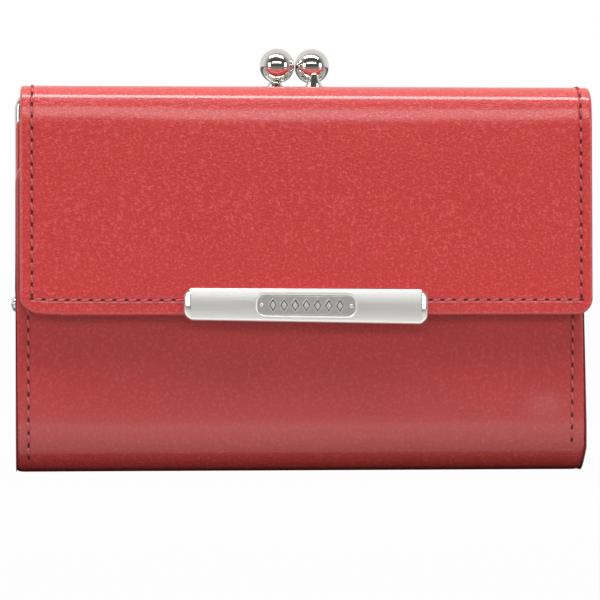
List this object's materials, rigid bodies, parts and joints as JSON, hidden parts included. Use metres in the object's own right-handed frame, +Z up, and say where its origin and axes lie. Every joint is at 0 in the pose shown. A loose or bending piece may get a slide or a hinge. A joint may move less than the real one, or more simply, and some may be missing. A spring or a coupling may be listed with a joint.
{
  "type": "coin purse",
  "caption": "Leather purse: folded front flap with a satin metal bar on its hem, card leaves, a bill compartment and a kiss-clasp coin pouch in a metal frame at the back.",
  "frame": {"origin": "middle of the footprint, on the surface the purse stands on", "axes": "+X to the right across the flap, -Y the front, +Z up"},
  "size_m": [0.142, 0.0288, 0.1041],
  "materials": {
    "cover_leather": "smooth calf with a fine grain, soft sheen",
    "slot_leather": "thin smooth leather",
    "lining_cloth": "woven lining",
    "board": "plain stiffener",
    "frame_metal": "polished nickel",
    "thread": "waxed thread",
    "bar_metal": "satin, brushed along the bar",
    "inlay_metal": "polished with a raised row of lozenges",
    "fastener_metal": "plain nickel"
  },
  "bodies": {
    "case": {"back_cover": "cover_leather", "back_lining": "lining_cloth", "spine_bottom": "cover_leather", "spine_rear_corner": "cover_leather", "spine_front_corner": "cover_leather", "middle_board": "board", "middle_lining": "lining_cloth", "middle_slot_upper": "slot_leather", "middle_slot_middle": "slot_leather", "middle_slot_lower": "slot_leather", "bill_gusset_left": "lining_cloth", "bill_gusset_right": "lining_cloth", "bill_divider": "lining_cloth", "pouch_stiffener": "board", "pouch_front_panel": "cover_leather", "pouch_front_lining": "lining_cloth", "pouch_back_lower": "cover_leather", "pouch_back_fold": "cover_leather", "pouch_lower_lining": "lining_cloth", "pouch_bottom": "cover_leather", "pouch_gusset_left": "cover_leather", "pouch_gusset_right": "cover_leather", "frame_front_half": "frame_metal", "front_packing_cord": "board", "hinge_rivets": "frame_metal", "front_clasp_ball": "frame_metal", "front_clasp_stem": "frame_metal", "flap_rear_fold": "cover_leather"},
    "flap_bridge": {"bridge_outer": "cover_leather", "bridge_board": "board", "bridge_lining": "lining_cloth", "flap_front_fold": "cover_leather"},
    "flap_panel": {"flap_outer": "cover_leather", "flap_board": "board", "flap_lining": "lining_cloth", "flap_stitching": "thread", "closure_bar": "bar_metal", "bar_inlay": "inlay_metal", "inlay_pins": "inlay_metal", "bar_posts": "fastener_metal", "bar_washers": "fastener_metal", "snap_socket": "fastener_metal"},
    "front_leaf": {"front_outer": "cover_leather", "front_board": "board", "front_lining": "lining_cloth", "front_slot_upper": "slot_leather", "front_slot_middle": "slot_leather", "front_slot_lower": "slot_leather", "front_stitching": "thread", "snap_stud": "fastener_metal"},
    "frame_rear": {"frame_rear_half": "frame_metal", "rear_packing_cord": "board", "rear_clasp_ball": "frame_metal", "rear_clasp_stem": "frame_metal", "pouch_back_upper": "cover_leather", "pouch_upper_lining": "lining_cloth"}
  },
  "joints": [
    {"name": "flap_lift", "type": "hinge", "parent": "case", "child": "flap_bridge", "pos_m": [0, 0.00258, 0.09288], "axis": [-1, 0, 0], "range_deg": [0, 90], "deforming": ["flap_rear_fold"]},
    {"name": "flap_unfold", "type": "hinge", "parent": "flap_bridge", "child": "flap_panel", "pos_m": [0, -0.01028, 0.09288], "axis": [-1, 0, 0], "range_deg": [0, 90], "deforming": ["flap_front_fold"]},
    {"name": "front_open", "type": "hinge", "parent": "case", "child": "front_leaf", "pos_m": [0, -0.0072, 0.0014], "axis": [1, 0, 0], "range_deg": [0, 27], "deforming": ["spine_front_corner"]},
    {"name": "coin_frame_open", "type": "hinge", "parent": "case", "child": "frame_rear", "pos_m": [0, 0.0091, 0.0407], "axis": [-1, 0, 0], "range_deg": [0, 80], "deforming": ["pouch_back_fold"]}
  ],
  "couplings": [
    {"joint": "flap_unfold", "follows": "flap_lift", "ratio": 1},
    {"joint": "front_open", "follows": "flap_lift", "ratio": 0.3}
  ]
}
